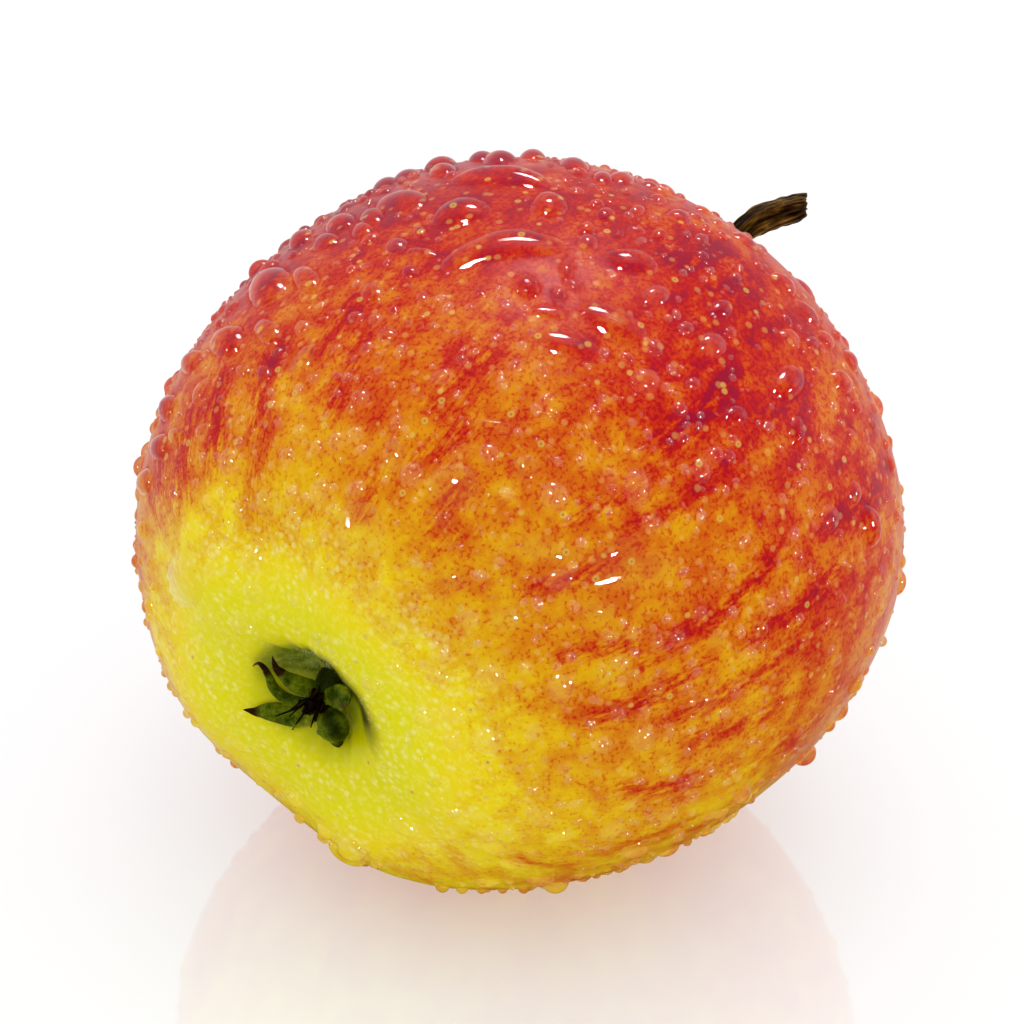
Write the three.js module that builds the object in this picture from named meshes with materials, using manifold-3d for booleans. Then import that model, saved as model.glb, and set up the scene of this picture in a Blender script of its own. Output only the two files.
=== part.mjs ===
// A fresh red apple, wet with beads of water, lying tipped over on a small flat spot.
//
// Lengths are millimetres and +Z is up. The fruit is shaped in a frame of its own, whose +Z is the
// core axis from the calyx to the stem, and one group then lays it down. A place on the skin is
// given by two angles: along the skin, from the stem pole (0) to the calyx pole (180), and around
// the core, from the underside (0) through +Y (90) to the top (180).

import * as THREE from 'three';
import * as BufferGeometryUtils from 'three/addons/utils/BufferGeometryUtils.js';
import Module from 'manifold-3d';

const wasm = await Module();
wasm.setup();

const { degToRad } = THREE.MathUtils;
const { sin, cos, exp, pow, hypot, PI } = Math;

// How the fruit lies
const CORE_TILT = degToRad(7.5);                                   // stem end up, from level
const FRUIT_CENTRE = new THREE.Vector3(-0.95, -0.2, 34.35);        // the weight is over the rest spot

// Fruit body
const BELLY_RADIUS = 37.1;
const CORE_HALF_LENGTH = 32.8;
const ROUNDNESS = 0.76;                                            // below 1 squares the ends
const SHOULDER_TAPER = 0.072;                                      // wider towards the stem
const END_FULLNESS = 0.096;
const OVAL = { size: 0.0375, at: degToRad(80) };
const THREE_SIDED = { size: 0.0037, at: degToRad(101) };
const RIBS = { count: 5, size: 0.0165, at: degToRad(64) };         // grow towards the calyx
const LEAN = { slope: 0.032, at: degToRad(51) };                   // one shoulder stands higher
const STEM_CAVITY = { depth: 12, width: 9, power: 1.6 };
const CALYX_BOWL = { depth: 2.4, width: 14.5, power: 2 };
const CALYX_PIT = { depth: 3.6, width: 5.8, power: 4 };
const CROWN = { height: 0.5, radius: 15, width: 6 };               // the ribs' knobs round the bowl
const STEPS_AROUND = 64;
const STEPS_ALONG = 42;
const END_CROWDING = 0.25;                                         // finer steps at both poles

// Stem: a leaning, ridged stalk, flared where it broke off
const STEM_PATH = [
  [0, 0, 19.6], [-0.6, 0.3, 25], [-2.8, 0.9, 31.5], [-6.4, 1.3, 38.2], [-10.4, 1.0, 44.2],
  [-12.1, -3.2, 49.1],
];
const STEM_RADIUS = 1.16;
const STEM_FOOT_FLARE = 0.25;
const STEM_END_FLARE = 0.38;
const STEM_RIDGES = { count: 5, size: 0.09, twist: 1.3 };
const STEM_BREAK = { slant: 0.9, at: degToRad(240), tooth: 0.2 };    // the ragged broken end
const STEM_SIDES = 15;
const STEM_STEPS = 30;
const SOCKET_GAP = 0.3;

// Calyx: five dried sepals round a small hub. Each leaves the hub at its lift, bends up by its curl
// towards its tip, swings round the core by its swing, and rolls its edges up by its roll.
const HUB_RADIUS = 1.9;
const HUB_TOP = 2.2;                                               // above the pit floor
const HUB_SINK = 0.9;
const SEPAL_THICKNESS = 0.6;
const SEPAL_ROOT = { radius: 1.0, height: 1.95 };
const SEPALS = [
  { around: 60, length: 8.0, width: 2.6, lift: 20, curl: 4, swing: 4, roll: 0.25 },
  { around: 80, length: 6.6, width: 2.1, lift: 28, curl: 32, swing: 52, roll: 0.30 },
  { around: 136, length: 6.7, width: 2.9, lift: 30, curl: 12, swing: 24, roll: 0.30 },
  { around: 236, length: 5.6, width: 3.2, lift: 16, curl: 12, swing: 8, roll: 0.15 },
  { around: 322, length: 4.7, width: 4.8, lift: 6, curl: 60, swing: 6, roll: 0.50 },
];
const SEPAL_STEPS = 12;
const SEPAL_STEPS_ACROSS = 4;

// Stamens: the withered filaments that stand in the middle of the sepals
const STAMEN_COUNT = 9;
const STAMEN_PAD_RADIUS = 1.15;
const STAMEN_PAD_HEIGHT = 0.5;
const STAMEN_RING_RADIUS = 0.62;
const STAMEN_LENGTH = { least: 1.0, most: 2.1 };
const STAMEN_FOOT_RADIUS = 0.36;
const STAMEN_TIP_RADIUS = 0.3;
const STAMEN_SPREAD = degToRad(48);
const STAMEN_SEED = 7;

// Large beads of water: degrees along the skin, degrees around the core, half length and half
// width in millimetres, and the turn of the length away from the line to the calyx, in degrees
const BEADS = [
  [90, 185, 6.0, 2.1, 133], [72, 172, 5.6, 1.9, 106], [85, 173, 2.9, 2.0, 134], [76, 184, 2.1, 1.7, 40],
  [80, 200, 2.2, 1.9, 9], [95, 193, 1.8, 1.5, 43], [93, 207, 2.6, 1.9, 101], [66, 151, 2.2, 1.7, 54],
  [62, 158, 2.0, 1.5, 49], [64, 165, 2.3, 1.7, 61], [57, 168, 1.8, 1.4, 40], [57, 178, 2.0, 1.4, 48],
  [59, 185, 1.5, 1.2, 46], [72, 192, 1.4, 1.1, 21], [70, 159, 1.6, 1.1, 57], [106, 145, 4.2, 2.4, 52],
  [105, 154, 2.4, 1.6, 54], [117, 154, 2.5, 1.6, 58], [118, 144, 2.9, 1.8, 61], [119, 131, 2.3, 1.7, 57],
  [126, 156, 1.4, 1.1, 60], [90, 139, 1.8, 1.4, 53], [95, 151, 2.1, 1.3, 62], [107, 171, 1.7, 1.3, 59],
  [122, 166, 2.0, 1.3, 60], [89, 148, 2.5, 1.6, 67], [127, 127, 2.1, 1.5, 58], [136, 126, 2.2, 1.6, 60],
  [138, 117, 1.8, 1.3, 54], [74, 230, 2.3, 1.8, 6], [74, 216, 1.4, 1.1, 170], [72, 256, 2.3, 1.6, 101],
  [160, 346, 1.9, 1.5, 100], [145, 333, 1.4, 1.2, 120],
];
const BEAD_RISE = 0.5;                                             // height as a share of half width
const BEAD_DETAIL = 1;

// A steep-sided dent or knob that fades with the distance from the core
function fade(distance, { width, power }) {
  return exp(-pow(distance / width, power));
}

// Point of the skin, in the fruit's frame, at two angles in radians
function skinPoint(along, around) {
  const axial = cos(along);
  const ribGrowth = pow((1 - axial) / 2, 2);
  const ribWave = cos(RIBS.count * (around - RIBS.at));
  const outline = 1
    + OVAL.size * cos(2 * (around - OVAL.at))
    + THREE_SIDED.size * cos(3 * (around - THREE_SIDED.at))
    + RIBS.size * ribWave * ribGrowth;
  const swell = 1 + SHOULDER_TAPER * axial + END_FULLNESS * (axial * axial - 0.3);
  const out = BELLY_RADIUS * pow(Math.max(sin(along), 0), ROUNDNESS) * swell * outline;
  let height = CORE_HALF_LENGTH * axial + LEAN.slope * out * cos(around - LEAN.at) * axial;
  if (axial > 0) {
    height -= STEM_CAVITY.depth * fade(out, STEM_CAVITY);
  } else {
    height += CALYX_BOWL.depth * fade(out, CALYX_BOWL) + CALYX_PIT.depth * fade(out, CALYX_PIT);
    const knob = out / CROWN.radius * exp(-pow((out - CROWN.radius) / CROWN.width, 2));
    height -= CROWN.height * ribWave * knob;
  }
  return new THREE.Vector3(out * cos(around), out * sin(around), height);
}

// Outward frame of the skin at a place given in degrees: x towards the calyx, z out of the skin
function skinFrame(alongDegrees, aroundDegrees) {
  const along = degToRad(alongDegrees);
  const around = degToRad(aroundDegrees);
  const step = 0.01;
  const point = skinPoint(along, around);
  const towardsCalyx = skinPoint(along + step, around).sub(point).normalize();
  const aroundCore = skinPoint(along, around + step).sub(point).normalize();
  const out = new THREE.Vector3().crossVectors(towardsCalyx, aroundCore).normalize();
  const side = new THREE.Vector3().crossVectors(out, towardsCalyx);
  return new THREE.Matrix4().makeBasis(towardsCalyx, side, out).setPosition(point);
}

// Repeatable random numbers from 0 to 1
function makeRandom(seed) {
  let state = seed;
  return () => {
    state = (state * 16807) % 2147483647;
    return state / 2147483647;
  };
}

// Moves each vertex of a geometry to where the formula puts it
function reshape(geometry, formula) {
  const position = geometry.attributes.position;
  const vertex = new THREE.Vector3();
  for (let i = 0; i < position.count; i += 1) {
    vertex.fromBufferAttribute(position, i);
    const moved = formula(vertex, i);
    position.setXYZ(i, moved.x, moved.y, moved.z);
  }
  return geometry;
}

function toSolid(geometry) {
  const bare = geometry.clone();
  bare.deleteAttribute('normal');
  bare.deleteAttribute('uv');
  const merged = BufferGeometryUtils.mergeVertices(bare);
  return new wasm.Manifold(new wasm.Mesh({
    numProp: 3,
    vertProperties: new Float32Array(merged.attributes.position.array),
    triVerts: new Uint32Array(merged.index.array),
  }));
}

function toGeometry(solid) {
  const mesh = solid.getMesh();
  const geometry = new THREE.BufferGeometry();
  geometry.setAttribute('position', new THREE.BufferAttribute(mesh.vertProperties, 3));
  geometry.setIndex(new THREE.BufferAttribute(mesh.triVerts, 1));
  geometry.computeVertexNormals();
  return geometry;
}

// The whole fruit as a sphere pulled to the skin's formula
function fruitBody() {
  const sphere = new THREE.SphereGeometry(1, STEPS_AROUND, STEPS_ALONG);
  const uv = sphere.attributes.uv;
  const body = reshape(sphere, (vertex, i) => {
    const share = 1 - uv.getY(i);
    const along = PI * share - END_CROWDING * sin(2 * PI * share);
    return skinPoint(along, 2 * PI * (uv.getX(i) % 1));
  });
  return toSolid(body);
}

function waterBead([along, around, halfLength, halfWidth, turn]) {
  const bead = new THREE.IcosahedronGeometry(1, BEAD_DETAIL);
  bead.scale(halfLength, halfWidth, halfWidth * BEAD_RISE);
  bead.rotateZ(degToRad(turn));
  bead.applyMatrix4(skinFrame(along, around));
  return toSolid(bead);
}

// A round hole along the core axis, from one height to another
function coreHole(radius, low, high) {
  const hole = new THREE.CylinderGeometry(radius, radius, high - low, 20);
  hole.rotateX(PI / 2);
  hole.translate(0, 0, (low + high) / 2);
  return toSolid(hole);
}

// The block under the surface that the fruit lies on, in the fruit's frame
function groundBlock(layDown) {
  const block = new THREE.BoxGeometry(60, 60, 20);
  block.translate(0, 0, -10);
  block.applyMatrix4(layDown.clone().invert());
  return toSolid(block);
}

function fruitGeometry(layDown) {
  let fruit = fruitBody();
  for (const bead of BEADS) {
    fruit = fruit.add(waterBead(bead));
  }
  const stemFoot = STEM_PATH[0][2];
  const stemHole = STEM_RADIUS * (1 + STEM_FOOT_FLARE) + 2 * SOCKET_GAP;
  const pitFloor = CALYX_BOWL.depth + CALYX_PIT.depth - CORE_HALF_LENGTH;
  fruit = fruit.subtract(coreHole(stemHole, stemFoot - SOCKET_GAP, stemFoot + 6));
  fruit = fruit.subtract(coreHole(HUB_RADIUS + SOCKET_GAP, pitFloor - 4, pitFloor + HUB_SINK + SOCKET_GAP));
  return toGeometry(fruit.subtract(groundBlock(layDown)));
}

// A cylinder bent along the stem's path, with lengthwise ridges and a ragged broken end
function stemGeometry() {
  const path = new THREE.CatmullRomCurve3(STEM_PATH.map((point) => new THREE.Vector3(...point)));
  const frames = path.computeFrenetFrames(STEM_STEPS);
  const rod = new THREE.CylinderGeometry(1, 1, STEM_STEPS, STEM_SIDES, STEM_STEPS);
  reshape(rod, (vertex) => {
    const step = Math.round(vertex.y + STEM_STEPS / 2);
    const share = step / STEM_STEPS;
    const rim = hypot(vertex.x, vertex.z);
    const angle = Math.atan2(vertex.x, vertex.z);
    const ridge = STEM_RIDGES.size * cos(STEM_RIDGES.count * angle + STEM_RIDGES.twist * share * PI);
    const flare = STEM_FOOT_FLARE * pow(1 - share, 6) + STEM_END_FLARE * pow(share, 7);
    const radius = rim * STEM_RADIUS * (1 + flare + ridge);
    const slant = STEM_BREAK.slant * cos(angle - STEM_BREAK.at) + STEM_BREAK.tooth * cos(3 * angle);
    const ragged = step === STEM_STEPS ? slant * rim : 0;
    return path.getPointAt(share)
      .addScaledVector(frames.normals[step], radius * cos(angle))
      .addScaledVector(frames.binormals[step], radius * sin(angle))
      .addScaledVector(frames.tangents[step], ragged);
  });
  return toGeometry(toSolid(rod));
}

// How wide a sepal is at a share of its length, as a share of its full width
function sepalOutline(share) {
  return 0.16 + 0.84 * pow(sin(PI * pow(1 - share, 0.75)), 0.6) * (1 - 0.35 * share);
}

// Distance from the core, height and slope of a sepal's middle line at a share of its length
function sepalSpine(sepal, share) {
  const steps = 16;
  let reach = SEPAL_ROOT.radius;
  let height = SEPAL_ROOT.height;
  for (let i = 0; i < steps; i += 1) {
    const here = share * (i + 0.5) / steps;
    const slope = degToRad(sepal.lift + sepal.curl * here * here);
    reach += sepal.length * share / steps * cos(slope);
    height += sepal.length * share / steps * sin(slope);
  }
  return { reach, height, slope: degToRad(sepal.lift + sepal.curl * share * share) };
}

// A flat bar bent into one sepal. The calyx frame has its origin on the pit floor and opens upwards,
// so angles around the core run the other way in it.
function sepalSolid(sepal) {
  const bar = new THREE.BoxGeometry(1, 1, 1, SEPAL_STEPS_ACROSS, 1, SEPAL_STEPS);
  reshape(bar, (vertex) => {
    const share = vertex.z + 0.5;
    const across = 2 * vertex.x;
    const { reach, height, slope } = sepalSpine(sepal, share);
    const halfWidth = sepal.width / 2 * sepalOutline(share);
    const offset = SEPAL_THICKNESS * vertex.y + sepal.roll * halfWidth * across * across;
    const radial = reach - sin(slope) * offset;
    const around = -degToRad(sepal.around + sepal.swing * share * share);
    return new THREE.Vector3(
      radial * cos(around) - halfWidth * across * sin(around),
      radial * sin(around) + halfWidth * across * cos(around),
      height + cos(slope) * offset,
    );
  });
  return toSolid(bar);
}

function calyxGeometry() {
  const hub = new THREE.CylinderGeometry(HUB_RADIUS, HUB_RADIUS, HUB_TOP + HUB_SINK, 20);
  hub.rotateX(PI / 2);
  hub.translate(0, 0, (HUB_TOP - HUB_SINK) / 2);
  let calyx = toSolid(hub);
  for (const sepal of SEPALS) {
    calyx = calyx.add(sepalSolid(sepal));
  }
  const stamenRoom = new THREE.CylinderGeometry(STAMEN_PAD_RADIUS + SOCKET_GAP,
    STAMEN_PAD_RADIUS + SOCKET_GAP, 4, 16);
  stamenRoom.rotateX(PI / 2);
  stamenRoom.translate(0, 0, HUB_TOP + 2);
  return toGeometry(calyx.subtract(toSolid(stamenRoom)));
}

// One bent, club-ended filament, leaning out from the pad at an angle around the core
function stamenSolid(around, length, lean) {
  const filament = new THREE.CylinderGeometry(STAMEN_TIP_RADIUS, STAMEN_FOOT_RADIUS, 1, 6, 4);
  reshape(filament, (vertex) => {
    const share = vertex.y + 0.5;
    const out = STAMEN_RING_RADIUS + vertex.x + length * sin(lean) * share * share;
    return new THREE.Vector3(out, -vertex.z, STAMEN_PAD_HEIGHT / 2 + length * share * cos(lean * share));
  });
  filament.rotateZ(around);
  return toSolid(filament);
}

function stamensGeometry() {
  const random = makeRandom(STAMEN_SEED);
  const pad = new THREE.CylinderGeometry(STAMEN_PAD_RADIUS, STAMEN_PAD_RADIUS, STAMEN_PAD_HEIGHT, 16);
  pad.rotateX(PI / 2);
  pad.translate(0, 0, STAMEN_PAD_HEIGHT / 2);
  let stamens = toSolid(pad);
  for (let i = 0; i < STAMEN_COUNT; i += 1) {
    const around = 2 * PI * (i + 0.5 * random()) / STAMEN_COUNT;
    const length = THREE.MathUtils.lerp(STAMEN_LENGTH.least, STAMEN_LENGTH.most, random());
    stamens = stamens.add(stamenSolid(around, length, STAMEN_SPREAD * random()));
  }
  return toGeometry(stamens);
}

function material(color, roughness) {
  return new THREE.MeshStandardMaterial({ color, roughness, metalness: 0 });
}

function namedMesh(name, geometry, surface) {
  const mesh = new THREE.Mesh(geometry, surface);
  mesh.name = name;
  return mesh;
}

// The calyx frame: on the pit floor, opening away from the fruit
function placeInPit(mesh, height) {
  mesh.rotation.x = PI;
  mesh.position.z = CALYX_BOWL.depth + CALYX_PIT.depth - CORE_HALF_LENGTH - height;
  return mesh;
}

const apple = new THREE.Group();
apple.rotation.y = PI / 2 - CORE_TILT;
apple.position.copy(FRUIT_CENTRE);
apple.updateMatrixWorld(true);

apple.add(namedMesh('fruit', fruitGeometry(apple.matrixWorld), material('#c9502a', 0.22)));
apple.add(namedMesh('stem', stemGeometry(), material('#3f2a12', 0.7)));
apple.add(placeInPit(namedMesh('calyx', calyxGeometry(), material('#5a6a1c', 0.75)), 0));
apple.add(placeInPit(
  namedMesh('stamens', stamensGeometry(), material('#1c120a', 0.85)),
  HUB_TOP + SOCKET_GAP,
));

export default apple;
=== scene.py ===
from math import acos, atan, cos, degrees, exp, hypot, pi, radians, sin

import bpy
import numpy as np
from mathutils import Matrix, Vector, noise


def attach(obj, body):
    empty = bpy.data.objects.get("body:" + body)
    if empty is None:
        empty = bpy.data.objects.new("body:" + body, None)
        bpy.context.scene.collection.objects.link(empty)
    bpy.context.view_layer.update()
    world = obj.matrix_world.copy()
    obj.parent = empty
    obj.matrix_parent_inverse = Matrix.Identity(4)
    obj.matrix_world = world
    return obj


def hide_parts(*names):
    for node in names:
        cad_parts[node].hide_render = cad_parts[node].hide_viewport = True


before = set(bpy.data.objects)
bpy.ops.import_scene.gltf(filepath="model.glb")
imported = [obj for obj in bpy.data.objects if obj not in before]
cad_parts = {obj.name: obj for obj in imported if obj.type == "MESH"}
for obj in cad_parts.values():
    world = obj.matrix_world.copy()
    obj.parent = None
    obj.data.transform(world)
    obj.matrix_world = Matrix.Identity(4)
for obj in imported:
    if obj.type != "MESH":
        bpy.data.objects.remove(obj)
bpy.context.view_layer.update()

# ---- The fruit's shape ----
# As in the CAD source: millimetres and radians, with +Z the core axis from the calyx to the stem. "along"
# runs from the stem pole to the calyx pole, and "around" from the underside through +Y to the top.
CORE_TILT = radians(7.5)
FRUIT_CENTRE = np.array([-0.95, -0.2, 34.35])
BELLY_RADIUS = 37.1
CORE_HALF_LENGTH = 32.8
ROUNDNESS = 0.76
SHOULDER_TAPER = 0.072
END_FULLNESS = 0.096
OVAL_SIZE, OVAL_AT = 0.0375, radians(80)
THREE_SIZE, THREE_AT = 0.0037, radians(101)
RIB_COUNT, RIB_SIZE, RIB_AT = 5, 0.0165, radians(64)
LEAN_SLOPE, LEAN_AT = 0.032, radians(51)
STEM_CAVITY = (12.0, 9.0, 1.6)  # depth, width and power of each dent
CALYX_BOWL = (2.4, 14.5, 2.0)
CALYX_PIT = (3.6, 5.8, 4.0)
CROWN_HEIGHT, CROWN_RADIUS, CROWN_WIDTH = 0.5, 15.0, 6.0
PIT_FLOOR = CALYX_BOWL[0] + CALYX_PIT[0] - CORE_HALF_LENGTH

# The unevenness of the skin: heights in millimetres, and how fast each changes per millimetre
RELIEF = ((0.22, 0.085), (0.06, 0.31))

TURN = pi / 2 - CORE_TILT
FRUIT_TO_ROW = np.array([
    [cos(TURN), 0, sin(TURN)],
    [0, 1, 0],
    [-sin(TURN), 0, cos(TURN)],
])


def fade(distance, dent):
    """How deep a dent is at a distance from its middle."""
    depth, width, power = dent
    return depth * np.exp(-np.power(distance / width, power))


def skin(along, around):
    """Points of the skin in the fruit's frame, for arrays of angles."""
    axial = np.cos(along)
    rib = np.cos(RIB_COUNT * (around - RIB_AT))
    outline = (1 + OVAL_SIZE * np.cos(2 * (around - OVAL_AT)) + THREE_SIZE * np.cos(3 * (around - THREE_AT))
               + RIB_SIZE * rib * ((1 - axial) / 2) ** 2)
    swell = 1 + SHOULDER_TAPER * axial + END_FULLNESS * (axial ** 2 - 0.3)
    out = BELLY_RADIUS * np.maximum(np.sin(along), 0) ** ROUNDNESS * swell * outline
    height = CORE_HALF_LENGTH * axial + LEAN_SLOPE * out * np.cos(around - LEAN_AT) * axial
    knob = out / CROWN_RADIUS * np.exp(-((out - CROWN_RADIUS) / CROWN_WIDTH) ** 2)
    calyx_end = fade(out, CALYX_BOWL) + fade(out, CALYX_PIT) - CROWN_HEIGHT * rib * knob
    height = height + np.where(axial > 0, -fade(out, STEM_CAVITY), calyx_end)
    return np.stack([out * np.cos(around), out * np.sin(around), height], -1)


def uneven(points, layers):
    """Smooth noise at points: the sum of layers, each a height and how fast it changes."""
    return np.array([sum(height * noise.noise(Vector(p * rate)) for height, rate in layers) for p in points])


def unit(vectors):
    return vectors / np.linalg.norm(vectors, axis=-1, keepdims=True)


def skin_tangents(along, around):
    """Unit directions towards the calyx and around the core, how far a radian takes each, and outwards."""
    step = 1e-3
    down = (skin(along + step, around) - skin(along - step, around)) / (2 * step)
    side = (skin(along, around + step) - skin(along, around - step)) / (2 * step)
    down_rate = np.linalg.norm(down, axis=-1, keepdims=True)
    side_rate = np.linalg.norm(side, axis=-1, keepdims=True)
    outwards = unit(np.cross(down, side))
    return down / down_rate, side / side_rate, down_rate[..., 0], side_rate[..., 0], outwards


# ---- Mesh helpers ----
def to_row(points):
    """From the fruit's frame in millimetres to the part's frame in metres."""
    return (np.asarray(points) @ FRUIT_TO_ROW.T + FRUIT_CENTRE) / 1000


def slope(value, start, width):
    """0 before start and 1 from start + width on. Where width is below zero it falls instead."""
    return np.clip((value - start) / width, 0, 1)


def round_angles(sides):
    """Even steps round a circle."""
    return np.arange(sides) * 2 * pi / sides


def ring_faces(rings, sides, start=0, flip=False):
    """The quads between closed rings that follow each other from point start on."""
    faces = []
    for first in range(start, start + (rings - 1) * sides, sides):
        for j in range(sides):
            a, b = first + j, first + (j + 1) % sides
            faces.append((a, a + sides, b + sides, b) if flip else (a, b, b + sides, a + sides))
    return faces


def fan(centre, start, sides, flip=False):
    """The triangles between one point and the closed ring from point start on."""
    pairs = [(start + j, start + (j + 1) % sides) for j in range(sides)]
    return [(centre, b, a) if flip else (centre, a, b) for a, b in pairs]


def join(parts):
    """One list of points and one of faces, from pairs of them."""
    points, faces, count = [], [], 0
    for some, some_faces in parts:
        points.append(some)
        faces += [tuple(i + count for i in face) for face in some_faces]
        count += len(some)
    return np.concatenate(points), faces


def new_object(name, data):
    thing = bpy.data.objects.new(name, data)
    bpy.context.scene.collection.objects.link(thing)
    return thing


def new_piece(name, points, faces, material, replaces=()):
    mesh = bpy.data.meshes.new(name)
    mesh.from_pydata(np.asarray(points).tolist(), [], faces)
    mesh.validate()
    mesh.shade_smooth()
    mesh.materials.append(material)
    piece = new_object(name, mesh)
    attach(piece, "root")
    if replaces:
        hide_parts(*replaces)
    return piece


def add_values(piece, name, values):
    values = np.asarray(values, np.float32)
    kind, key = ("FLOAT", "value") if values.ndim == 1 else ("FLOAT_VECTOR", "vector")
    layer = piece.data.attributes.new(name, kind, "POINT")
    layer.data.foreach_set(key, values.ravel())


# ---- Node helpers ----
def srgb(r, g, b):
    def one(c):
        c /= 255
        return c / 12.92 if c <= 0.04045 else ((c + 0.055) / 1.055) ** 2.4
    return (one(r), one(g), one(b), 1.0)


class Nodes:
    """A short way to write nodes. Inputs are sockets or plain values, and None leaves one as it is."""

    def __init__(self, tree):
        self.nodes = tree.nodes
        self.links = tree.links

    def new(self, kind, *inputs, **settings):
        node = self.nodes.new("ShaderNode" + kind)
        for name, value in settings.items():
            setattr(node, name, value)
        for socket, value in zip(node.inputs, inputs):
            self.put(socket, value)
        return node

    def named(self, kind, **inputs):
        node = self.new(kind)
        for name, value in inputs.items():
            self.put(node.inputs[name.replace("_", " ")], value)
        return node

    def put(self, socket, value):
        if isinstance(value, bpy.types.NodeSocket):
            self.links.new(value, socket)
        elif value is not None:
            socket.default_value = value

    def math(self, operation, a, b):
        return self.new("Math", a, b, operation=operation).outputs[0]

    def add(self, first, *others):
        for value in others:
            first = self.math("ADD", first, value)
        return first

    def times(self, first, *others):
        for value in others:
            first = self.math("MULTIPLY", first, value)
        return first

    def sway(self, value, size):
        """From a noise round one half to one round zero, of the given size."""
        return self.times(self.math("SUBTRACT", value, 0.5), size)

    def vector(self, operation, a, b=None, c=None):
        node = self.new("VectorMath", a, b, c, operation=operation)
        return node.outputs["Value" if operation in ("DOT_PRODUCT", "LENGTH") else "Vector"]

    def step(self, value, low, high, to_low=0.0, to_high=1.0):
        """A smooth step from low to high."""
        node = self.new("MapRange", value, low, high, to_low, to_high, interpolation_type="SMOOTHSTEP")
        return node.outputs[0]


class Material(Nodes):
    """The nodes of a new material."""

    def __init__(self, name):
        self.material = bpy.data.materials.new(name)
        self.material.use_nodes = True
        super().__init__(self.material.node_tree)
        self.nodes.clear()
        self.output = self.new("OutputMaterial")

    def attribute(self, name, output="Fac"):
        return self.new("Attribute", attribute_name=name).outputs[output]

    def position(self):
        """Place on the object in millimetres."""
        return self.vector("MULTIPLY", self.new("TexCoord").outputs["Object"], (1000, 1000, 1000))

    def parts(self, vector):
        return self.new("SeparateXYZ", vector).outputs

    def noise(self, vector, scale, detail=2.0, roughness=0.5):
        node = self.named("TexNoise", Vector=vector, Scale=scale, Detail=detail, Roughness=roughness)
        return node.outputs["Fac"]

    def cells(self, vector, scale):
        """How far the nearest of many scattered points is."""
        return self.named("TexVoronoi", Vector=vector, Scale=scale).outputs["Distance"]

    def mix(self, share, a, b):
        node = self.new("Mix", data_type="RGBA")
        for place, value in ((0, share), (6, a), (7, b)):
            self.put(node.inputs[place], value)
        return node.outputs[2]

    def paint(self, under, colour, *shares):
        """A colour laid over what is under it, as thick as the product of the shares."""
        return self.mix(self.times(*shares), under, srgb(*colour))

    def ramp(self, share, stops):
        node = self.new("ValToRGB", share)
        elements = node.color_ramp.elements
        while len(elements) < len(stops):
            elements.new(0.5)
        for element, (place, colour) in zip(elements, stops):
            element.position = place
            element.color = srgb(*colour)
        return node.outputs[0]

    def bump(self, height, strength, distance):
        return self.named("Bump", Strength=strength, Distance=distance, Height=height).outputs[0]

    def principled(self, **sockets):
        node = self.named("BsdfPrincipled", **sockets)
        self.links.new(node.outputs[0], self.output.inputs[0])
        return node

    def split_rays(self, choice, shader, other):
        """End in the other shader for the rays that choice picks, and in the first for the rest."""
        mix = self.new("MixShader", choice, shader.outputs[0], other.outputs[0])
        self.links.new(mix.outputs[0], self.output.inputs[0])


# ---- Skin ----
SKIN_AROUND, SKIN_ALONG = 360, 260
END_CROWDING = 0.25
POLE_GAP, TANGENT_GAP = 1e-6, 0.01  # radians off the poles for their points and their directions
FOLD_DEPTH, FOLD_COUNT = 0.16, 11
WET_EDGE = 0.5  # millimetres over which the skin gets dry round a drop

# Broken stripes of the blush: degrees along the skin where each starts and ends, degrees around the
# core, its half width in millimetres and its strength
STRIPES = [
    (58, 76, 207, 2.2, 1), (64, 74, 214, 1.8, 0.7), (80, 104, 224, 1.7, 1), (70, 86, 232, 1.5, 0.7),
    (62, 86, 251, 1.6, 0.9), (96, 118, 232, 1, 0.7), (104, 126, 226, 1.1, 0.7), (118, 136, 232, 1, 0.8),
    (124, 138, 245, 0.8, 0.9), (92, 122, 249, 1.3, 0.9), (80, 108, 256, 1.4, 0.9), (90, 126, 262, 1.1, 0.8),
    (112, 140, 256, 1.3, 0.8), (100, 122, 270, 1.3, 0.7), (118, 134, 276, 1.1, 0.8), (84, 106, 282, 1.6, 0.6),
    (128, 142, 210, 1.2, 0.7), (120, 134, 200, 1.6, 0.7), (108, 124, 196, 1.8, 0.6), (112, 132, 178, 1.5, 0.7),
    (104, 122, 168, 1.8, 0.7), (118, 140, 160, 1.6, 0.8), (124, 146, 148, 1.6, 0.9), (130, 150, 138, 1.8, 0.8),
    (120, 144, 128, 2, 0.8), (138, 150, 108, 1.2, 0.6), (132, 146, 300, 1.2, 0.7), (110, 134, 312, 1.4, 0.6),
]
STRIPE_SEED = 11
RANDOM_STRIPES = 90

# How red the skin is, from 0 (yellow) to 1 (red): along the skin, and what that is times around the core
RED_ALONG = [(0, 0.85), (40, 0.97), (60, 1.08), (80, 1.12), (95, 0.97), (110, 0.75), (123, 0.66),
             (135, 0.55), (145, 0.42), (152, 0.26), (160, 0.07), (165, 0.0), (180, 0.0)]
RED_AROUND = [(0, 0.90), (40, 1.0), (80, 1.12), (120, 1.28), (150, 1.20), (180, 1.04), (200, 1.0), (220, 0.98),
              (240, 0.90), (260, 0.80), (280, 0.61), (305, 0.52), (325, 0.58), (345, 0.76), (360, 0.90)]

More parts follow.
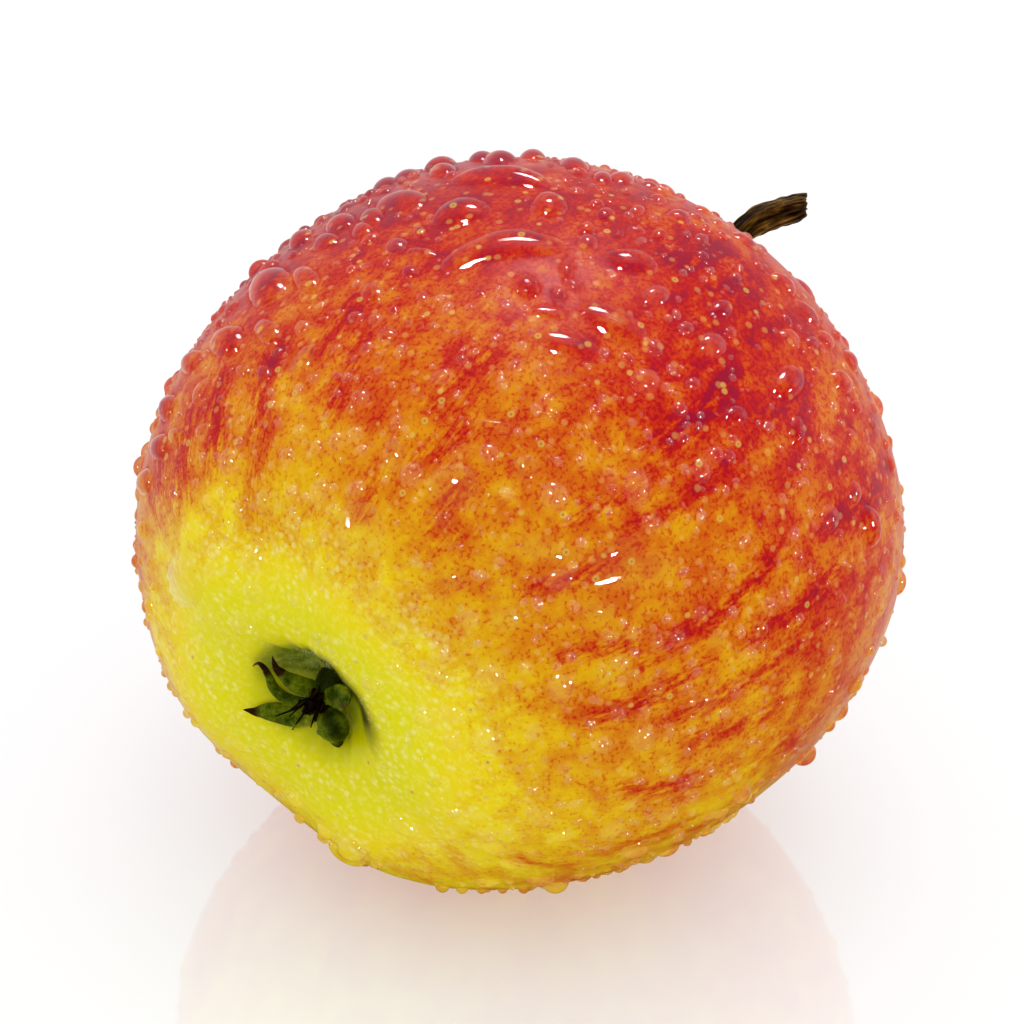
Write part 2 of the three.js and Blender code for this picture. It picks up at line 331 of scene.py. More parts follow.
# The colours that follow each other as the skin gets redder, up to BLUSH_LEVELS, and along the calyx end
BLUSH_LEVELS = 1.6
BLUSH = [
    (0.00, (244, 216, 4)), (0.125, (235, 186, 0)), (0.25, (227, 153, 0)), (0.375, (218, 116, 0)),
    (0.50, (209, 82, 0)), (0.625, (203, 46, 0)), (0.75, (194, 14, 6)), (0.87, (178, 2, 24)),
    (1.0, (156, 0, 44)),
]
CALYX_END = [
    (0.88, (244, 222, 6)), (0.93, (230, 222, 0)), (0.96, (224, 216, 0)), (0.985, (184, 188, 0)),
    (1.0, (90, 100, 4)),
]
# The pit's far wall, its down, and the painted shade where its near wall hides the sky
PIT_GREEN, PIT_SILVER, PIT_PAINTED_SHADE = (66, 86, 2), (168, 180, 70), (24, 34, 0)
# The last of these is painted light: pale spots for the light that drops gather
LENTICEL, LENTICEL_MIDDLE, PALE_PAINTED_LIGHT_SPOT = (226, 186, 84), (150, 112, 20), (244, 200, 104)
# The first of these is painted light: paler skin under the drops
PAINTED_LIGHT_UNDER_WATER, WHITISH_CLOUD, WHITISH_DOT = (250, 224, 140), (246, 236, 120), (250, 246, 164)


def skin_values(along, around):
    """How red each point of the skin is, and how much of a stripe lies there."""
    a, b = np.degrees(along), np.degrees(around) % 360
    red = np.interp(a, *zip(*RED_ALONG)) * np.interp(b, *zip(*RED_AROUND))
    draw = np.random.RandomState(STRIPE_SEED).uniform
    stripes = list(STRIPES)
    for _ in range(RANDOM_STRIPES):
        middle, length = draw(55, 145), draw(8, 24)
        at, half, strength = draw(0, 360), draw(0.5, 1.3), draw(0.2, 0.6)
        stripes.append((middle - length / 2, middle + length / 2, at, half, strength))
    stroke = np.zeros_like(a)
    for start, end, at, half, strength in stripes:
        middle, reach = (start + end) / 2, (end - start) / 2
        across = ((b - at + 180) % 360 - 180) * BELLY_RADIUS * np.sin(along) * pi / 180
        bend = 0.8 * np.sin((a - middle) / reach * 1.7 + at)
        ends = np.clip(1.3 - np.abs((a - middle) / reach) ** 3, 0, 1)
        stroke = np.maximum(stroke, np.exp(-((across + bend) / half) ** 2) * ends * strength)
    return red, stroke


def edge_reach(waves, angles):
    """How far the uneven edge of a drop reaches, as a share of its plain oval."""
    return 1 + sum(size * np.cos(count * angles + phase) for count, size, phase in waves)


def wet_share(along, around, drops):
    """1 where a drop lies on the skin, 0 where it is dry."""
    wet = np.zeros_like(along)
    for at_along, at_around, half_length, half_width, turn, bend, _, waves in drops:
        _, _, down_rate, side_rate, _ = skin_tangents(np.array(at_along), np.array(at_around))
        da = (along - at_along) * down_rate
        db = ((around - at_around + pi) % (2 * pi) - pi) * side_rate
        u = da * cos(turn) + db * sin(turn)
        v = -da * sin(turn) + db * cos(turn) - bend * (u ** 2 / half_length - half_length / 3)
        angle = np.arctan2(v / half_width, u / half_length)
        share = np.hypot(u / half_length, v / half_width) / edge_reach(waves, angle)
        wet = np.maximum(wet, np.clip((1.0 - share) * half_width / WET_EDGE + 0.5, 0, 1))
    return wet


def build_skin(material, drops):
    shares = np.linspace(0, 1, SKIN_ALONG + 1)
    along = (pi * shares - END_CROWDING * np.sin(2 * pi * shares))[1:-1]
    grid_along, grid_around = np.meshgrid(along, round_angles(SKIN_AROUND), indexing="ij")
    flat_along = np.r_[grid_along.ravel(), POLE_GAP, pi - POLE_GAP]
    flat_around = np.r_[grid_around.ravel(), 0, 0]
    a, b = np.degrees(flat_along), np.degrees(flat_around) % 360

    points = skin(flat_along, flat_around)
    outwards = skin_tangents(np.clip(flat_along, TANGENT_GAP, pi - TANGENT_GAP), flat_around)[4]
    pit_wall = slope(a, 171.5, 3) * slope(a, 179.2, -1.5)
    folds = FOLD_DEPTH * np.sin(FOLD_COUNT * flat_around + 3 * np.sin(2 * flat_around)) * pit_wall
    row = to_row(points + outwards * (uneven(points, RELIEF) + folds)[:, None])
    row[:, 2] = np.maximum(row[:, 2], 0)  # flat where it rests

    rings = len(along)
    stem_pole, calyx_pole = rings * SKIN_AROUND, rings * SKIN_AROUND + 1
    faces = ring_faces(rings, SKIN_AROUND, flip=True) + fan(stem_pole, 0, SKIN_AROUND)
    faces += fan(calyx_pole, stem_pole - SKIN_AROUND, SKIN_AROUND, flip=True)
    piece = new_piece("apple_skin", row, faces, material, ["fruit"])

    red, stroke = skin_values(flat_along, flat_around)
    add_values(piece, "place", np.stack([np.cos(flat_around), np.sin(flat_around), flat_along / pi], -1))
    add_values(piece, "red", red)
    add_values(piece, "stroke", stroke)
    add_values(piece, "wet", wet_share(flat_along, flat_around, drops))
    # Painted shade: the pit is darkened where its near wall hides the sky. It is downy on its far wall
    in_pit = slope(a - 171.0 - 1.2 * slope(b, 205, -30), 0, 2.2)
    add_values(piece, "shade", in_pit * slope(b, 166, 22) * slope(b, 292, -34))
    add_values(piece, "down", slope(a, 173.5, 2.0) * slope(b, 84, 20) * slope(b, 230, -30))


def skin_material():
    g = Material("apple_skin")
    mm = g.position()
    place = g.attribute("place", "Vector")
    along = g.parts(place)[2]
    red, stroke, wet = g.attribute("red"), g.attribute("stroke"), g.attribute("wet")

    def drawn_out(x, y, z, detail, roughness):
        return g.noise(g.vector("MULTIPLY", place, (x, y, z)), 1.0, detail, roughness)

    broad = g.noise(mm, 0.055)
    patch = g.noise(mm, 0.16, 3.0, 0.6)
    mottle = g.step(g.noise(mm, 0.34, 5.0, 0.62), 0.34, 0.66)
    fleck = g.noise(mm, 2.5, 4.0, 0.64)
    streak = drawn_out(20, 20, 10, 3.0, 0.6)
    grain = drawn_out(62, 62, 110, 2.0, 0.55)
    ragged = g.step(drawn_out(46, 46, 38, 3.0, 0.65), 0.34, 0.58)

    # From yellow through orange to crimson, with flecks that are redder than what is round them
    inside = g.step(red, 0.0, 0.12)
    swing = g.add(g.sway(broad, 0.45), g.sway(patch, 0.60), g.sway(streak, 0.18),
                  g.sway(mottle, g.step(red, 0.5, 1.0, 0.26, 0.46)))
    level = g.add(red, g.times(swing, inside), g.times(stroke, ragged, 0.58))
    redder = g.times(g.math("SUBTRACT", level, 0.55), 0.10)
    speck = g.step(g.add(g.times(fleck, 0.86), g.times(grain, 0.14), redder), 0.515, 0.63)
    level = g.math("SUBTRACT", g.add(level, g.times(speck, inside, 0.31)), 0.095)
    level = g.add(level, g.times(wet, g.step(red, 0.55, 0.98, -0.02, 0.10)))
    colour = g.ramp(g.math("DIVIDE", level, BLUSH_LEVELS), BLUSH)
    colour = g.mix(g.step(along, 0.86, 0.92), colour, g.ramp(along, CALYX_END))

    down = g.attribute("down")
    silver = g.times(down, g.step(g.noise(mm, 0.9, 4.0, 0.7), 0.38, 0.62))
    colour = g.paint(colour, PIT_GREEN, down, 0.80)
    colour = g.paint(colour, PIT_SILVER, silver, 0.58)
    # Painted shade where the pit's near wall hides the sky
    colour = g.paint(colour, PIT_PAINTED_SHADE, g.attribute("shade"), 0.94)

    # Lenticels: cream dots, some with a darker middle
    spots = g.cells(mm, 0.38)
    dot = g.step(spots, 0.155, 0.09)
    colour = g.paint(colour, LENTICEL, dot, 0.62)
    colour = g.paint(colour, LENTICEL_MIDDLE, g.step(spots, 0.06, 0.035), 0.7)
    # Painted light: scattered pale spots that stand for the light drops gather on the skin
    colour = g.paint(colour, PALE_PAINTED_LIGHT_SPOT, g.step(g.cells(mm, 0.55), 0.24, 0.12), 0.26)
    # Painted light: paler skin under the drops where the skin is less red, for the light the drops gather
    colour = g.paint(colour, PAINTED_LIGHT_UNDER_WATER, wet, g.step(red, 0.90, 0.50), 0.05)

    # Whitish dots, crowded round the calyx end
    crowd = g.times(g.step(along, 0.79, 0.89), g.step(along, 0.975, 0.945))
    crowd = g.times(crowd, g.math("SUBTRACT", 1.0, g.attribute("shade")))
    dots = g.times(g.step(g.cells(mm, 1.05), 0.44, 0.14), g.step(g.noise(mm, 0.35), 0.36, 0.58))
    cloud = g.times(g.step(g.noise(mm, 1.3, 4.0, 0.7), 0.44, 0.72), 0.45)
    colour = g.paint(colour, WHITISH_CLOUD, cloud, crowd)
    colour = g.paint(colour, WHITISH_DOT, dots, crowd, 0.42)

    # Under water the skin has no gloss of its own
    dry_roughness = g.add(0.24, g.times(patch, 0.12))
    height = g.add(g.times(g.noise(mm, 2.6, 3.0), 0.6), g.times(dot, 0.35))
    g.principled(
        Base_Color=colour, Roughness=g.mix(wet, dry_roughness, (0.8, 0.8, 0.8, 1)), IOR=1.40,
        Specular_IOR_Level=0.20, Subsurface_Weight=0.10, Subsurface_Radius=(1.0, 0.35, 0.12),
        Subsurface_Scale=0.001, Normal=g.bump(height, 0.30, 0.00010),
    )
    return g.material


# ---- Water ----
# Drops listed one by one: degrees along and around, half length and half width in millimetres, degrees the
# length is turned from "along", rise (0 flat, 1 a half ball) and, where a drop bends, how far
BEADS = [
    (89.8, 184.8, 6, 2.3, 135, 0.42, -0.18), (71.6, 171.5, 5.6, 1.9, 107, 0.6, -0.1),
    (84.5, 172.8, 2.9, 2.4, 124, 0.45, -0.05), (75.8, 183.8, 2.3, 1.8, 40, 0.6, -0.05),
    (78.8, 201.5, 2.5, 1.8, 118, 0.4), (95.7, 193.3, 1.7, 1.3, 43, 0.7), (88, 195.5, 1.5, 0.7, 36, 0.6),
    (100.4, 188, 0.8, 0.3, 78, 0.5), (97.9, 198.8, 1.8, 0.8, 121, 0.25), (92.2, 207.2, 3.3, 2, 88, 0.3, -0.1),
    (100.7, 205, 2.6, 1.4, 113, 0.22), (62.9, 149.8, 2.6, 1.7, 50, 0.6), (58.2, 155.8, 2.6, 1.4, 47, 0.6),
    (61.4, 163, 2.6, 1.7, 51, 0.6), (53.5, 164.2, 2.6, 1.4, 42, 0.6), (55.5, 175.3, 2.6, 1.5, 48, 0.5),
    (69.4, 156.5, 2.4, 1.4, 56, 0.6), (67.4, 145.5, 2.6, 1.4, 51, 0.5), (58.5, 183.5, 1.8, 1.1, 32, 0.5),
    (54, 184.8, 2, 1.2, 30, 0.5), (71.6, 192, 1.3, 1, 15, 0.6), (77.1, 192, 1, 0.8, 19, 0.6),
    (74.8, 196.5, 0.7, 0.5, 7, 0.6), (69.1, 200.8, 1.1, 0.8, 3, 0.6), (100.9, 174.5, 1.3, 0.8, 57, 0.6),
    (91.5, 169.5, 1.2, 0.7, 59, 0.6), (96.2, 173.2, 1.6, 0.8, 95, 0.4), (70.6, 143.2, 2.6, 1.4, 52, 0.5),
    (83, 158.8, 3.6, 2, 76, 0.4, -0.05), (88.3, 156.5, 2.2, 1.3, 51, 0.5), (106.9, 171, 1.7, 1.1, 59, 0.5),
    (109.4, 177.5, 0.8, 0.5, 55, 0.6), (105.6, 180.5, 1.2, 0.6, 44, 0.5), (114.3, 179.5, 1.2, 0.9, 65, 0.5),
    (105.6, 145.2, 4.2, 2.4, 52, 0.55, -0.08), (105.2, 154.5, 3, 1.3, 54, 0.6),
    (117.3, 153.8, 2.6, 1.4, 58, 0.6), (118.3, 143.5, 2.9, 1.9, 61, 0.6, -0.06),
    (119.1, 132.5, 2.6, 1.4, 57, 0.6), (125.3, 152.2, 1.3, 0.7, 66, 0.6), (125.8, 158, 1.3, 0.8, 60, 0.6),
    (90.5, 140.2, 2.6, 1.4, 53, 0.6), (95, 151.2, 2.2, 1.3, 62, 0.5), (122, 165.5, 1.6, 1.2, 171, 0.3),
    (88.8, 149.2, 2.6, 1.5, 67, 0.5), (92.2, 157.5, 1.8, 1.1, 57, 0.5), (126.8, 127.7, 2.6, 1.4, 58, 0.6),
    (135.5, 135, 1.6, 1, 64, 0.6), (135, 127.5, 2.6, 1.4, 60, 0.6), (137.2, 117.5, 2.6, 1.4, 54, 0.6),
    (74.1, 230, 2.4, 1.6, 1, 0.6), (74.6, 215.8, 1.5, 1, 175, 0.6), (71.6, 255.8, 2.3, 1.6, 101, 0.6),
    (79.1, 236, 1.5, 1, 34, 0.45), (88.3, 228.5, 1.3, 1.1, 170, 0.5), (48.8, 236.2, 1.8, 1.2, 165, 0.5),
    (157.6, 350.5, 2, 1.5, 124, 0.9), (139.9, 339.2, 1, 0.7, 134, 0.8), (159.3, 121.2, 4.6, 2.6, 80, 0.16),
    (133.2, 194.2, 1.6, 0.9, 39, 0.28), (132, 207, 2.2, 1.9, 115, 0.22), (121.8, 213.8, 1.1, 1, 42, 0.25),
    (137.4, 209.8, 0.8, 0.6, 129, 0.35), (143.9, 219.8, 1.1, 0.6, 141, 0.3), (140.9, 232, 1.3, 1, 150, 0.22),
    (127, 239.5, 1.3, 0.7, 147, 0.3), (118.8, 237, 4, 1.3, 156, 0.12), (118.6, 233, 1.8, 0.9, 164, 0.2, -0.1),
    (129.5, 225.2, 2.1, 0.8, 127, 0.15), (131, 250.2, 0.8, 0.7, 90, 0.5), (126.3, 252.5, 0.6, 0.5, 104, 0.5),
    (110.9, 253.5, 0.8, 0.5, 138, 0.5), (102.7, 256.2, 0.9, 0.7, 121, 0.5),
    (116.6, 262.5, 1.3, 0.7, 153, 0.35), (123.8, 256.5, 0.8, 0.7, 130, 0.5), (106.9, 245, 0.7, 0.6, 137, 0.6),
    (149.1, 168, 1.5, 1.3, 111, 0.3), (147.9, 197, 3.2, 2.4, 35, 0.12), (153.3, 185, 1.1, 0.7, 116, 0.4),
    (157.1, 190.8, 1.3, 1, 134, 0.35), (156.3, 218.5, 2.5, 2, 179, 0.15), (170.7, 285.5, 0.9, 0.5, 72, 0.5),
    (162.8, 276.2, 1, 0.6, 48, 0.5), (137.2, 336.2, 0.8, 0.6, 133, 0.8), (135, 332.8, 0.7, 0.5, 131, 0.8),
    (132.7, 329.2, 0.7, 0.5, 130, 0.8), (130.2, 325.8, 0.8, 0.6, 129, 0.8),
    (118.6, 233.2, 1.8, 0.2, 164, 0.8, 0.25), (122.8, 233.2, 1.2, 0.2, 131, 0.8),
    (125.3, 229.8, 0.4, 0.2, 124, 0.8), (131.5, 222.5, 0.5, 0.2, 152, 0.8),
    (134.5, 221.2, 0.3, 0.2, 160, 0.8), (119.6, 205, 1.7, 0.2, 117, 0.8), (119.8, 207.5, 0.3, 0.2, 130, 0.8),
    (128, 203.8, 0.6, 0.3, 32, 0.8), (126, 203.8, 0.8, 0.2, 117, 0.8, 0.1),
    (110.4, 219.2, 0.8, 0.2, 113, 0.8, 0.2), (106.1, 223, 1, 0.2, 156, 0.8, 0.3),
    (130, 209.2, 1.1, 0.2, 61, 0.8), (112.4, 210.5, 0.7, 0.5, 154, 0.6), (131.5, 193.3, 0.8, 0.3, 35, 0.7),
    (93.5, 203.5, 1.1, 0.3, 147, 0.35, -0.1), (91.5, 208, 1.8, 0.4, 93, 0.35, -0.1),
    (100.7, 203, 0.8, 0.3, 125, 0.45, -0.1), (151.5, 359, 2.2, 1.05, 60, 0.9), (158.5, 2, 1.1, 0.9, 134, 0.8),
]

WATER_SEED = 5
LOWEST_WATER = 0.0002  # metres above the floor
DROP_FOOT, DROP_UNDERSIDE = -0.12, -0.2  # how deep its lowest ring and its underside lie in the skin

# Scattered drops: how many are tried, least and greatest half width, least and greatest rise, and how
# uneven their edges are
MIDDLE_DROPS = (1200, 0.55, 1.3, (0.40, 0.80), 0.08)
SMALL_DROPS = (5600, 0.16, 0.60, (0.5, 0.9), 0.05)
LARGE_UNEVENNESS = 0.10
HEIGHTS = (-0.985, 0.95)  # where they lie along the core: -1 is the calyx pole and 1 the stem pole
SMALLER_POWER = 2.2  # the higher, the more of them are small
MOST_STRETCH = 1.5  # their length over their width
NEIGHBOUR_REACH = 0.85  # the share of a neighbour's half length that they keep clear of

# Each water piece, the sides and rings of its drops, its material, and that one's colour and clearness
WATER_PIECES = [
    ("water_beads", 40, 12, "clear_water", (0.94, 0.92, 0.91, 1), 1.0),
    ("water_drops", 22, 6, "water", (1.0, 0.93, 0.80, 1), 0.975),
    ("water_droplets", 12, 3, "fine_water", (1.0, 0.92, 0.78, 1), 0.945),
]


def drop_mesh(along, around, half_length, half_width, turn, bend, rise, waves, sides, rings):
    """A dome of water that follows the skin under it: its points in the fruit's frame, and its faces."""
    _, _, down_rate, side_rate, _ = skin_tangents(np.array(along), np.array(around))
    steepest = 2 * atan(rise)
    angles = round_angles(sides)
    reach = edge_reach(waves, angles)
    height = rise * half_width
    shares, heights = [], []
    for k in range(1, rings + 2):
        polar = steepest * k / rings
        shares.append(sin(polar) / sin(steepest))
        heights.append(height * (cos(polar) - cos(steepest)) / (1 - cos(steepest)))
    heights[-1] = max(heights[-1], DROP_FOOT)
    u = np.outer(shares, half_length * reach * np.cos(angles))
    v = np.outer(shares, half_width * reach * np.sin(angles)) + bend * (u ** 2 / half_length - half_length / 3)
    a = along + (u * cos(turn) - v * sin(turn)) / down_rate
    b = around + (u * sin(turn) + v * cos(turn)) / side_rate
    shift = -bend * half_length / 3
    mid_a, mid_b = along - shift * sin(turn) / down_rate, around + shift * cos(turn) / side_rate
    a = np.r_[mid_a, a.ravel(), mid_a]
    b = np.r_[mid_b, b.ravel(), mid_b]
    h = np.r_[height, np.repeat(heights, sides), DROP_UNDERSIDE]
    on_skin = skin(a, b)
    points = on_skin + skin_tangents(a, b)[4] * (h + uneven(on_skin, RELIEF))[:, None]
    faces = fan(0, 1, sides) + ring_faces(rings + 1, sides, start=1, flip=True)
    return points, faces + fan(len(points) - 1, 1 + rings * sides, sides, flip=True)


def build_drops(name, drops, sides, rings, material):
    points, faces = join([drop_mesh(*drop, sides, rings) for drop in drops])
    row = to_row(points)
    row[:, 2] = np.maximum(row[:, 2], LOWEST_WATER)
    return new_piece(name, row, faces, material)


def wetness(along, around):
    """How likely a drop is at angles in degrees: most high on the +Y side, and more low on the -Y side."""
    high = 0.5 + 0.5 * cos(radians(around - 155))
    low = exp(-((along - 125) / 24) ** 2) * max(cos(radians(around - 250)), 0) ** 0.5
    return 0.25 + 0.75 * high ** 1.5 + 0.45 * low


def water_rules():
    """All the drops: large ones listed one by one, the rest by a seeded rule, each kept clear of those before
    it.
    """
    draw = np.random.RandomState(WATER_SEED).uniform
    placed = []

    def waves(size):
        return [(k, draw(-size, size) / (k - 0.5), draw(0, 6.28)) for k in (2, 3, 4)]

    def by_hand():
        drops = []
        for along, around, half_length, half_width, turn, rise, *bend in BEADS:
            a, b, turn = radians(along), radians(around), radians(turn)
            bend = bend[0] if bend else 0
            drops.append((a, b, half_length, half_width, turn, bend, rise, waves(LARGE_UNEVENNESS)))
            placed.append((*skin(np.array(a), np.array(b)), half_length))
        return drops

    def scatter(tries, low, high, rise, rough):
        drops = []
        for _ in range(tries):
            a = acos(draw(*HEIGHTS))
            b = draw(0, 2 * pi)
            keep, size = draw(), draw() ** SMALLER_POWER
            stretch = draw(1, MOST_STRETCH)
            lift, turn, shape = draw(*rise), draw(0, pi), waves(rough)
            if keep > wetness(degrees(a), degrees(b)):
                continue
            half = low + (high - low) * size
            point = skin(np.array(a), np.array(b))
            near = np.array(placed)
            gap = np.linalg.norm(near[:, :3] - point, axis=1) - near[:, 3] * NEIGHBOUR_REACH
            if gap.min() >= half * stretch:
                drops.append((a, b, half * stretch, half, turn, 0.0, lift, shape))
                placed.append((*point, half * stretch))
        return drops

    return by_hand(), scatter(*MIDDLE_DROPS), scatter(*SMALL_DROPS)


def water_material(name, colour, clearness):
    """Clear water that lets the light through to the skin, as the renderer traces no light through drops."""
    g = Material(name)
    ripple = g.bump(g.noise(g.position(), 0.9, 1.0), 0.06, 0.0002)
    glass = g.principled(
        Base_Color=colour, Roughness=0.0, IOR=1.33, Transmission_Weight=clearness, Normal=ripple,
    )
    rays = g.new("LightPath").outputs
    through = g.math("MAXIMUM", rays["Is Shadow Ray"], rays["Is Diffuse Ray"])
    g.split_rays(through, glass, g.new("BsdfTransparent"))
    return g.material


# ---- Calyx and stamens ----
# Sepals from the hub to the tip: places in the fruit's frame and half widths, how far the edges bend
# away from the side that is seen, the share of the length where the withered tip starts, and for the
# last two how pale the edge is (not at all below 0.84) and how dark the painted shade in the hollow is
SEPALS = [
    ([(0.7, 0.5, -28.6, 0.5), (2.4, 1.4, -28.7, 0.75), (3.6, 2.3, -29.0, 0.98), (3.6, 3.2, -29.5, 1.08),
      (3.2, 4.2, -30.2, 1.04), (2.9, 5.4, -31.0, 0.80), (3.0, 6.3, -31.5, 0.44), (2.9, 6.9, -31.8, 0.22),
      (2.9, 7.4, -32.0, 0.04)], 0.25, 0.84),
    ([(0.8, 1.1, -28.6, 0.4), (1.9, 2.6, -28.8, 0.5), (2.2, 3.7, -29.1, 0.58), (1.5, 4.4, -29.6, 0.56),
      (0.2, 4.8, -30.1, 0.48), (-1.5, 4.7, -30.5, 0.36), (-2.9, 4.7, -30.9, 0.27), (-3.3, 5.1, -31.0, 0.19),
      (-2.7, 5.9, -30.8, 0.11), (-2.0, 6.5, -30.6, 0.03)], 0.40, 0.66),
    ([(0.2, 0.1, -28.6, 0.6), (-0.8, 0.5, -29.1, 0.85), (-1.5, 1.3, -29.9, 0.92), (-2.5, 1.8, -30.6, 0.74),
      (-3.6, 2.0, -31.2, 0.50), (-4.8, 2.0, -31.8, 0.33), (-5.8, 1.9, -32.1, 0.2), (-6.7, 1.8, -32.2, 0.04)],
     0.25, 0.60),
    ([(0.6, 0.3, -28.6, 0.4), (-0.3, -0.9, -28.9, 0.75), (-1.2, -2.1, -29.2, 1.1), (-1.9, -3.1, -29.5, 1.25),
      (-2.3, -3.9, -29.5, 1.1), (-2.3, -4.5, -29.3, 0.5)], 0.12, 1.1, 0.8, 0.7),
    ([(1.4, 0.6, -28.6, 0.6), (1.2, -0.8, -29.4, 1.15), (1.3, -1.9, -30.0, 1.6), (2.2, -2.5, -30.1, 1.66),
      (3.4, -2.5, -29.8, 1.35), (4.5, -2.1, -29.2, 0.9), (5.0, -1.9, -28.8, 0.45), (5.1, -1.8, -28.5, 0.1)],
     0.42, 0.90, 0.97, 1.0),
]
SEEN_FROM = np.array([-0.62, -0.52, -0.59])
SEPAL_THICKNESS = 0.26
SEPAL_STEPS, SEPAL_SIDES = 44, 14
SEPAL_WAVES = ((0.16, 1.1), (0.05, 4))  # heights, and how fast each changes, as for the skin
LEAST_HALF_WIDTH = 0.02
HUB_RADIUS, HUB_TOP, HUB_FOOT = 1.9, 2.1, 0.6
HUB_RINGS, HUB_SIDES = 12, 36

# Ends of the withered filaments that stand out of the tuft, in the fruit's frame
LONG_FILAMENTS = [
    (2.9, 4.2, -31.0), (5.0, 3.3, -30.0), (3.4, 0.7, -30.0), (-1.3, 0.2, -31.2), (-2.0, -1.2, -31.1),
    (-0.8, -1.0, -31.0), (0.9, 1.9, -31.4), (2.4, 2.6, -30.6),
]
STAMEN_SEED, SHORT_FILAMENTS = 8, 26
DOWN_SEED, DOWN_HAIRS, DOWN_ON_RIM = 13, 420, 0.78
# Radii of the threads at the foot and at the tip
LONG_RADII, SHORT_RADII, DOWN_RADII = (0.22, 0.06), (0.24, 0.12), (0.016, 0.007)

SEPAL_GREENS = [(0.34, (34, 48, 0)), (0.48, (78, 96, 0)), (0.60, (116, 126, 0)), (0.74, (176, 168, 60))]
# The first of these is painted shade in the sepals' hollows
HOLLOW_PAINTED_SHADE, FOOT_GREEN, SEPAL_PATCH, SEPAL_EDGE = (8, 18, 0), (16, 20, 3), (84, 50, 14), (176, 168, 104)
WITHERED_DARK, WITHERED_BROWN = (10, 3, 0), (62, 28, 6)
STAMEN_COLOURS = (4, 1, 0), (34, 14, 4)
DOWN_COLOURS = (214, 216, 170), (244, 244, 226)


def spline(rows, steps):
    """Even steps along a smooth curve through the rows."""
    rows = np.asarray(rows, float)
    rows = np.vstack([2 * rows[0] - rows[1], rows, 2 * rows[-1] - rows[-2]])
    count = len(rows) - 3

    def curve(places):
        first = np.minimum(places.astype(int), count - 1)
        t = (places - first)[:, None]
        a, b, c, d = (rows[first + k] for k in range(4))
        square, cube = 2 * a - 5 * b + 4 * c - d, 3 * b - a - 3 * c + d
        return 0.5 * (2 * b + (c - a) * t + square * t ** 2 + cube * t ** 3)

    places = np.linspace(0, count, 40 * count)
    far = np.r_[0, np.cumsum(np.linalg.norm(np.diff(curve(places)[:, :3], axis=0), axis=1))]
    return curve(np.interp(np.linspace(0, far[-1], steps + 1), far, places))


def frame_along(path, across):
    """Unit directions at each point of a path: ahead, and to a side square to it and to across."""
    ahead = unit(np.gradient(path, axis=0))
    return ahead, unit(np.cross(ahead, across))


def sheet_faces(rows, columns, start, flip=False):
    faces = []
    for i in range(rows - 1):
        for j in range(columns - 1):
            a = start + i * columns + j
            face = (a, a + 1, a + columns + 1, a + columns)
            faces.append(face[::-1] if flip else face)
    return faces


def sepal(rows, cup, tip_start, edge=0.91, hollow=0.0):
    """A thin curled blade: points, faces, where each point lies (withered, across, along), and how dark the
    painted shade in its hollow is.
    """
    path = spline(rows, SEPAL_STEPS)
    middle, half = path[:, :3], np.maximum(path[:, 3], LEAST_HALF_WIDTH)
    ahead, side = frame_along(middle, SEEN_FROM)
    face = np.cross(side, ahead)
    across = np.linspace(-1, 1, SEPAL_SIDES + 1)
    shares = np.linspace(0, 1, SEPAL_STEPS + 1)[:, None] + 0 * across
    sink = -cup * half[:, None] * across ** 2 - 0.10 * half[:, None] * np.exp(-(across / 0.16) ** 2)
    flat = middle[:, None] + side[:, None] * (half[:, None] * across)[..., None]
    flat = flat + face[:, None] * sink[..., None]
    waves = uneven(flat.reshape(-1, 3), SEPAL_WAVES)
    flat = flat + face[:, None] * waves.reshape(shares.shape)[..., None]
    thick = SEPAL_THICKNESS / 2 * (1 - 0.75 * np.abs(across) ** 3) * np.minimum(1, 4 * half[:, None] + 0.15)
    points = np.concatenate([(flat + face[:, None] * k * thick[..., None]).reshape(-1, 3) for k in (1, -1)])
    rings, columns = SEPAL_STEPS + 1, SEPAL_SIDES + 1
    other = rings * columns
    faces = sheet_faces(rings, columns, 0) + sheet_faces(rings, columns, other, flip=True)
    rim = [i * columns for i in range(rings)] + [(rings - 1) * columns + j for j in range(1, columns)]
    rim += [i * columns + columns - 1 for i in range(rings - 2, -1, -1)] + list(range(columns - 2, 0, -1))
    for a, b in zip(rim, rim[1:] + rim[:1]):
        faces.append((a, b, b + other, a + other))
    withered = np.clip((shares - tip_start) / 0.07 + 0.5, 0, 1)
    places = np.stack([withered, np.abs(across) * edge + 0 * shares, shares], -1).reshape(-1, 3)
    # Painted shade: darkest down the middle of a cupped blade's hollow, fading out before its tip
    shade_in_hollow = hollow * np.exp(-((across + 0.12) / 0.52) ** 2) * slope(shares, 0.86, -0.16)
    return points, faces, np.tile(places, (2, 1)), np.tile(shade_in_hollow.ravel(), 2)


def hub():
    """The low green dome that the sepals stand on."""
    turn = round_angles(HUB_SIDES)
    points = [np.array([[0, 0, PIT_FLOOR - HUB_TOP]])]
    for k in range(1, HUB_RINGS + 1):
        lean = pi / 2 * k / HUB_RINGS
        wide = HUB_RADIUS * sin(lean) * (1 + 0.06 * np.cos(5 * turn))
        height = PIT_FLOOR + HUB_FOOT - (HUB_TOP + HUB_FOOT) * cos(lean)
        points.append(np.stack([wide * np.cos(turn), wide * np.sin(turn), height + 0 * turn], -1))
    points = np.concatenate(points)
    faces = fan(0, 1, HUB_SIDES, flip=True) + ring_faces(HUB_RINGS, HUB_SIDES, start=1)
    return points, faces, np.tile([0.0, 0.3, 0.0], (len(points), 1)), np.zeros(len(points))


